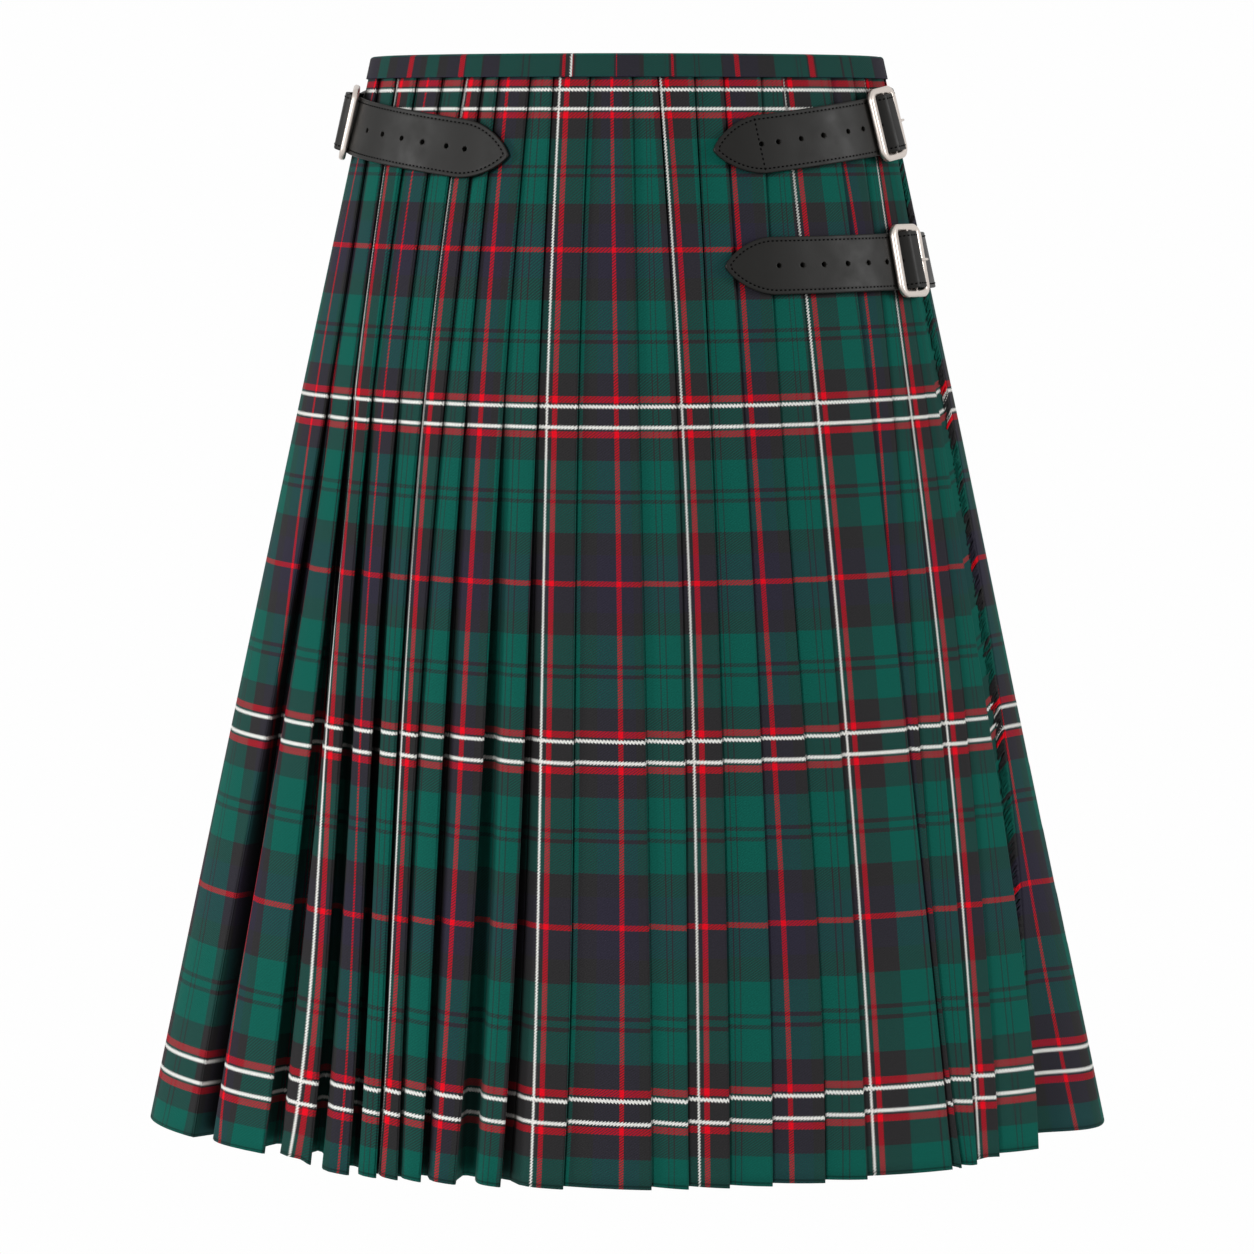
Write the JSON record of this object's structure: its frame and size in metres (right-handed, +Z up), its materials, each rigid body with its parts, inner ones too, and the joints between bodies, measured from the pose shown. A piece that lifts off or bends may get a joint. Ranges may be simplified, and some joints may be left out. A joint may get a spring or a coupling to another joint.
{
  "type": "scottish kilt",
  "caption": "Knee-length wrap skirt of tartan wool in its worn form, knife-pleated round the back, with overlapping flat aprons and leather straps with buckles at the hips.",
  "frame": {"origin": "middle of the waist opening, 6 mm below its top edge", "axes": "+Z up, the wearer's height; -Y to the wearer's back with the pleats, +Y to the front with the aprons; +X to the wearer's right"},
  "size_m": [0.5497, 0.2811, 0.6224],
  "materials": {
    "tartan": "twill wool tartan: green, black and navy grounds with red and white lines",
    "leather": "smooth black strap leather with black stitching",
    "nickel": "satin nickel plate"
  },
  "bodies": {
    "root": {"over_apron": "tartan", "pleated_back": "tartan", "under_apron": "tartan", "apron_fringe": "tartan", "waistband_outer": "tartan", "waistband_inner": "tartan", "strap_waist_right": "leather", "chape_waist_right": "leather", "buckle_waist_right": "nickel", "prong_waist_right": "nickel", "strap_hip_right": "leather", "chape_hip_right": "leather", "buckle_hip_right": "nickel", "prong_hip_right": "nickel", "strap_waist_left": "leather", "chape_waist_left": "leather", "buckle_waist_left": "nickel", "prong_waist_left": "nickel"}
  },
  "joints": []
}
